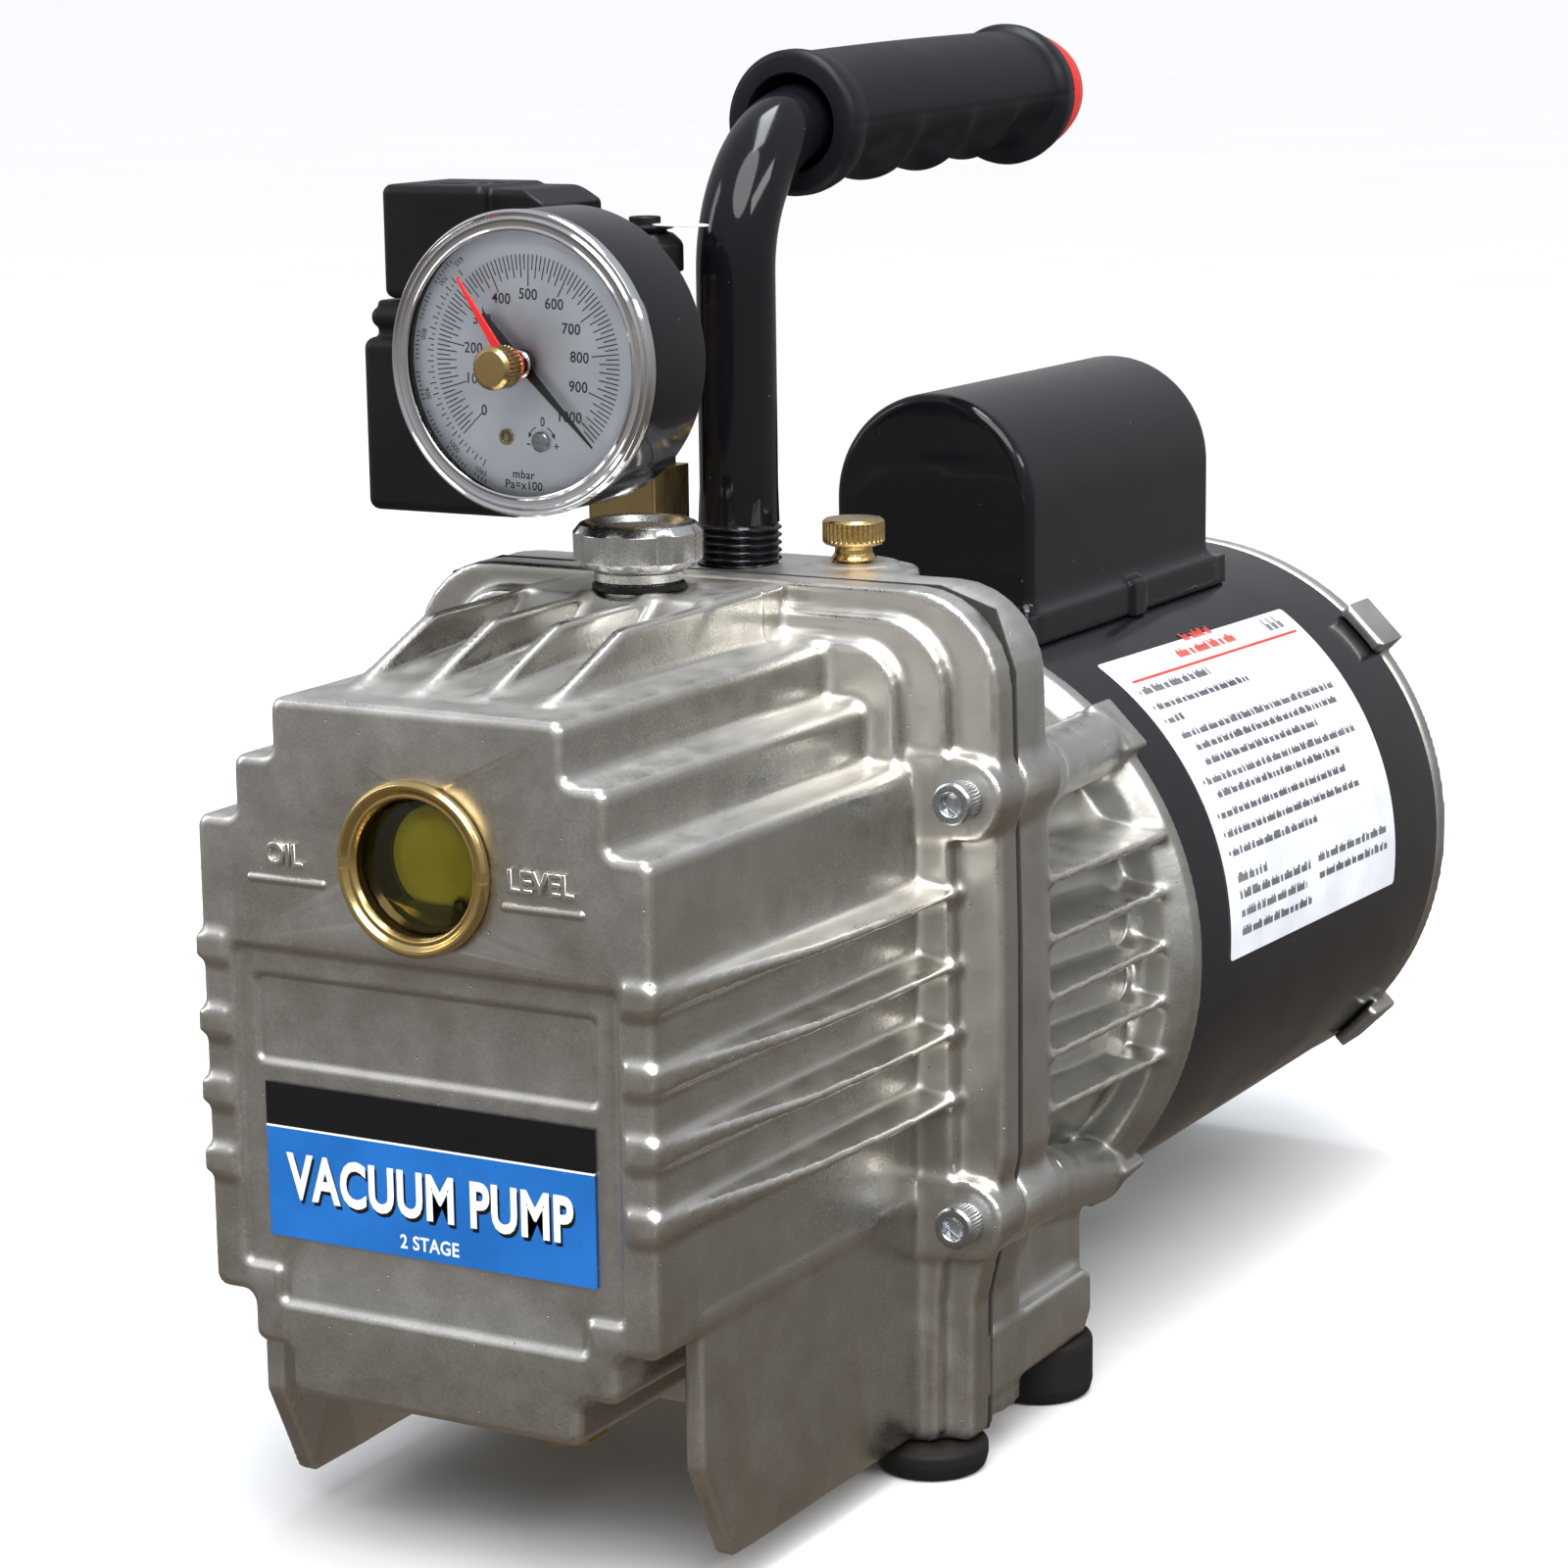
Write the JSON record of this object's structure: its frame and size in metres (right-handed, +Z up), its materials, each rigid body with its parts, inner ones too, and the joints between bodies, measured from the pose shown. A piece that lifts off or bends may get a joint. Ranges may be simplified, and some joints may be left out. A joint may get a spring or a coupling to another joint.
{
  "type": "rotary vane vacuum pump",
  "caption": "Portable rotary vane vacuum pump: finned cast oil case with sight glass, cast motor adapter, electric motor, hollow carrying handle, inlet group with solenoid valve and dial gauge.",
  "frame": {"origin": "on the floor, under the middle of the object's box", "axes": "+Z up, -Y towards the oil case's front face, +Y towards the motor's rear end, x = 0 on the pump's plane of symmetry"},
  "size_m": [0.16, 0.4078, 0.323],
  "materials": {
    "cast_aluminium": "satin die-cast",
    "brass": "machined, satin",
    "zinc_steel": "bright zinc plated",
    "bare_steel": "machined",
    "gasket_fibre": "matt fibre gasket",
    "sight_glass": "clear over yellow-green oil",
    "clear_lens": "clear",
    "blue_label": "printed film",
    "machined_aluminium": "turned, bright",
    "seal_rubber": "nitrile seal",
    "foot_rubber": "matt moulded",
    "grip_rubber": "matt moulded",
    "gloss_black_paint": "gloss enamel",
    "grey_paint": "satin enamel",
    "red_plastic": "satin",
    "black_plastic": "moulded satin",
    "dial_white": "printed white",
    "white_label": "printed film",
    "capacitor_can": "satin can",
    "winding_copper": "varnished windings",
    "vane_carbon": "filled resin"
  },
  "bodies": {
    "pump_body": {"oil_case": "cast_aluminium", "case_gasket": "gasket_fibre", "case_screw_top_right": "zinc_steel", "case_screw_top_left": "zinc_steel", "case_screw_bottom_right": "zinc_steel", "case_screw_bottom_left": "zinc_steel", "sight_glass_bezel": "brass", "sight_glass_lens": "sight_glass", "front_label": "blue_label", "drain_plug": "brass", "motor_adapter": "cast_aluminium", "front_foot_right": "foot_rubber", "front_foot_left": "foot_rubber", "back_foot_right": "foot_rubber", "back_foot_left": "foot_rubber", "motor_foot": "foot_rubber", "handle_tube": "gloss_black_paint", "handle_grip": "grip_rubber", "inlet_nipple": "brass", "inlet_manifold": "brass", "inlet_fitting": "brass", "solenoid_tube": "brass", "solenoid_coil": "black_plastic", "solenoid_connector": "black_plastic", "connector_screw": "zinc_steel", "gauge_case": "gloss_black_paint", "gauge_stem": "brass", "gauge_bezel": "zinc_steel", "gauge_window": "clear_lens", "gauge_dial": "dial_white", "motor_shell": "gloss_black_paint", "rear_end_bell": "grey_paint", "cord_gland": "seal_rubber", "capacitor_cover": "gloss_black_paint", "capacitor": "capacitor_can", "cover_screw_front": "zinc_steel", "cover_screw_rear": "zinc_steel", "motor_label": "white_label", "motor_stator": "winding_copper", "front_bearing": "bare_steel", "rear_bearing": "bare_steel", "pump_cylinder": "bare_steel", "pump_end_plate": "bare_steel"},
    "oil_cap_thread": {"oil_cap_seal": "seal_rubber"},
    "oil_cap": {"oil_fill_cap": "machined_aluminium"},
    "ballast_knob": {"ballast_knob": "brass"},
    "inlet_cap": {"inlet_cap": "black_plastic"},
    "exhaust_cap": {"exhaust_cap": "red_plastic"},
    "gauge_needle": {"gauge_needle": "black_plastic"},
    "set_pointer": {"red_pointer": "red_plastic", "pointer_knob": "brass"},
    "zero_screw": {"gauge_zero_screw": "zinc_steel"},
    "solenoid_plunger": {"solenoid_plunger": "bare_steel"},
    "rocker_switch": {"rocker_switch": "black_plastic"},
    "motor_shaft": {"motor_rotor": "bare_steel", "cooling_fan": "black_plastic", "shaft_coupling": "bare_steel", "pump_rotor": "bare_steel", "pump_vane_1": "vane_carbon", "pump_vane_2": "vane_carbon"}
  },
  "joints": [
    {"name": "motor_spin", "type": "hinge", "parent": "pump_body", "child": "motor_shaft", "pos_m": [0, 0.0587, 0.0971], "axis": [0, 1, 0], "continuous": true},
    {"name": "oil_cap_lift", "type": "slide", "parent": "pump_body", "child": "oil_cap_thread", "axis": [0, 0, 1], "range_m": [0, 0.004]},
    {"name": "oil_cap_turn", "type": "hinge", "parent": "oil_cap_thread", "child": "oil_cap", "pos_m": [0, -0.1113, 0.205], "axis": [0, 0, 1], "range_deg": [0, 720]},
    {"name": "ballast_turn", "type": "hinge", "parent": "pump_body", "child": "ballast_knob", "pos_m": [0.0256, -0.0583, 0.205], "axis": [0, 0, 1], "range_deg": [0, 360]},
    {"name": "inlet_cap_lift", "type": "slide", "parent": "pump_body", "child": "inlet_cap", "axis": [0, 0, 1], "range_m": [0, 0.02]},
    {"name": "exhaust_cap_pull", "type": "slide", "parent": "pump_body", "child": "exhaust_cap", "axis": [0, 0.9997, 0.0262], "range_m": [0, 0.015]},
    {"name": "needle_swing", "type": "hinge", "parent": "pump_body", "child": "gauge_needle", "pos_m": [-0.0098, -0.1413, 0.2554], "axis": [0, -1, 0], "range_deg": [0, 273]},
    {"name": "set_pointer_turn", "type": "hinge", "parent": "pump_body", "child": "set_pointer", "pos_m": [-0.0098, -0.1473, 0.2554], "axis": [0, -1, 0], "range_deg": [-180, 90]},
    {"name": "zero_screw_turn", "type": "hinge", "parent": "pump_body", "child": "zero_screw", "pos_m": [-0.0066, -0.1403, 0.2386], "axis": [0, -1, 0], "range_deg": [-60, 60]},
    {"name": "plunger_travel", "type": "slide", "parent": "pump_body", "child": "solenoid_plunger", "axis": [-1, 0, 0], "range_m": [0, 0.004], "stiffness_N_per_m": 400},
    {"name": "switch_rock", "type": "hinge", "parent": "pump_body", "child": "rocker_switch", "pos_m": [0.038, 0.1967, 0.07], "axis": [-1, 0, 0], "range_deg": [0, 14.5]}
  ],
  "couplings": [
    {"joint": "oil_cap_turn", "follows": "oil_cap_lift", "rad_per_m": 3141.6}
  ]
}
